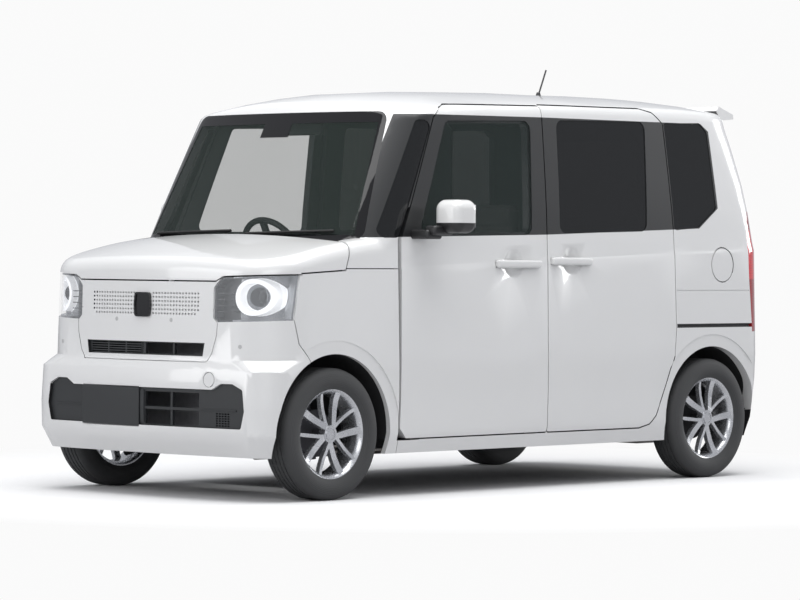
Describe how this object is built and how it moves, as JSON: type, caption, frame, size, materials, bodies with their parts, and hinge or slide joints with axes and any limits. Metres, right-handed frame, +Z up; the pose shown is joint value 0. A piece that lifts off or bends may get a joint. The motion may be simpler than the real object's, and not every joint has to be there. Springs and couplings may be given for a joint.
{
  "type": "kei wagon",
  "caption": "Tall, boxy kei wagon with hinged front doors, sliding rear doors, a lifting tailgate, a perforated nose panel and steel-grey alloy wheels.",
  "frame": {"origin": "centre of the footprint, on the ground under the tyres", "axes": "+Y towards the rear of the car, +X to the car's left, +Z up"},
  "size_m": [1.886, 3.3934, 1.9165],
  "materials": {
    "paint": "gloss",
    "underbody": "matte",
    "black_plastic": "satin",
    "dark_plastic": "matte",
    "seat_cloth": "matte",
    "lamp_clear": "gloss",
    "lamp_silver": "gloss",
    "lamp_red": "gloss",
    "clear_glass": "gloss",
    "dark_glass": "gloss",
    "engine_metal": "matte",
    "cast_metal": "matte",
    "steel": "satin",
    "alloy": "satin",
    "tyre_rubber": "matte"
  },
  "bodies": {
    "body": {"body_shell": "paint", "floor_pan": "underbody", "front_bumper": "paint", "rear_bumper": "paint", "front_fenders": "paint", "grille_panel": "paint", "lower_grille": "black_plastic", "headlamps": "lamp_clear", "tail_lamps": "lamp_red", "windscreen": "clear_glass", "quarter_glass": "clear_glass", "cowl": "black_plastic", "wipers": "black_plastic", "dashboard": "dark_plastic", "front_seats": "seat_cloth", "rear_seat": "seat_cloth", "interior_mirror": "dark_plastic", "engine_block": "engine_metal", "fuel_tank": "black_plastic", "exhaust": "steel", "rear_axle": "underbody", "front_subframe": "underbody", "antenna": "black_plastic", "sliding_doors": "paint", "sliding_door_glass": "dark_glass", "nose_badge": "black_plastic", "headlamp_units": "lamp_silver", "slide_rails": "black_plastic", "sliding_door_handles": "paint"},
    "bonnet": {"bonnet": "paint"},
    "tailgate": {"tailgate": "paint", "tailgate_glass": "dark_glass", "rear_wiper": "black_plastic", "rear_plate": "black_plastic"},
    "fuel_lid": {"fuel_lid": "paint"},
    "steering_wheel": {"steering_wheel": "dark_plastic"},
    "door_left": {"front_door_left": "paint", "front_door_glass_left": "clear_glass", "door_mirror_left": "paint", "door_handle_left": "paint"},
    "knuckle_left": {"knuckle_left": "cast_metal"},
    "door_right": {"front_door_right": "paint", "front_door_glass_right": "clear_glass", "door_mirror_right": "paint", "door_handle_right": "paint"},
    "knuckle_right": {"knuckle_right": "cast_metal"},
    "wheel_front_left": {"rim_front_left": "alloy", "tyre_front_left": "tyre_rubber"},
    "wheel_front_right": {"rim_front_right": "alloy", "tyre_front_right": "tyre_rubber"},
    "wheel_rear_left": {"rim_rear_left": "alloy", "tyre_rear_left": "tyre_rubber"},
    "wheel_rear_right": {"rim_rear_right": "alloy", "tyre_rear_right": "tyre_rubber"}
  },
  "joints": [
    {"name": "left_door", "type": "hinge", "parent": "body", "child": "door_left", "pos_m": [0.7175, -0.798, 0.6], "axis": [0, 0, -1], "range_deg": [0, 65]},
    {"name": "right_door", "type": "hinge", "parent": "body", "child": "door_right", "pos_m": [-0.7175, -0.798, 0.6], "axis": [0, 0, 1], "range_deg": [0, 65]},
    {"name": "tailgate_lift", "type": "hinge", "parent": "body", "child": "tailgate", "pos_m": [0, 1.5, 1.76], "axis": [1, 0, 0], "range_deg": [0, 80]},
    {"name": "bonnet_lift", "type": "hinge", "parent": "body", "child": "bonnet", "pos_m": [0, -1.15, 1.086], "axis": [-1, 0, 0], "range_deg": [0, 50]},
    {"name": "fuel_lid_swing", "type": "hinge", "parent": "body", "child": "fuel_lid", "pos_m": [0.7295, 1.266, 0.997], "axis": [0, 0, -1], "range_deg": [0, 80]},
    {"name": "left_steer", "type": "hinge", "parent": "body", "child": "knuckle_left", "pos_m": [0.58, -1.2525, 0.2785], "axis": [-0.1961, 0, 0.9806], "range_deg": [-32, 32]},
    {"name": "right_steer", "type": "hinge", "parent": "body", "child": "knuckle_right", "pos_m": [-0.58, -1.2525, 0.2785], "axis": [0.1961, 0, 0.9806], "range_deg": [-32, 32]},
    {"name": "steering_wheel_turn", "type": "hinge", "parent": "body", "child": "steering_wheel", "pos_m": [-0.36, -0.54, 1.027], "axis": [0, 0.9019, 0.432], "range_deg": [-450, 450]},
    {"name": "spin_front_left", "type": "hinge", "parent": "knuckle_left", "child": "wheel_front_left", "pos_m": [0.6525, -1.2525, 0.2785], "axis": [1, 0, 0], "continuous": true},
    {"name": "spin_front_right", "type": "hinge", "parent": "knuckle_right", "child": "wheel_front_right", "pos_m": [-0.6525, -1.2525, 0.2785], "axis": [1, 0, 0], "continuous": true},
    {"name": "spin_rear_left", "type": "hinge", "parent": "body", "child": "wheel_rear_left", "pos_m": [0.6525, 1.2675, 0.2785], "axis": [1, 0, 0], "continuous": true},
    {"name": "spin_rear_right", "type": "hinge", "parent": "body", "child": "wheel_rear_right", "pos_m": [-0.6525, 1.2675, 0.2785], "axis": [1, 0, 0], "continuous": true}
  ],
  "couplings": [
    {"joint": "right_steer", "follows": "left_steer", "ratio": 1},
    {"joint": "steering_wheel_turn", "follows": "left_steer", "ratio": 14}
  ]
}
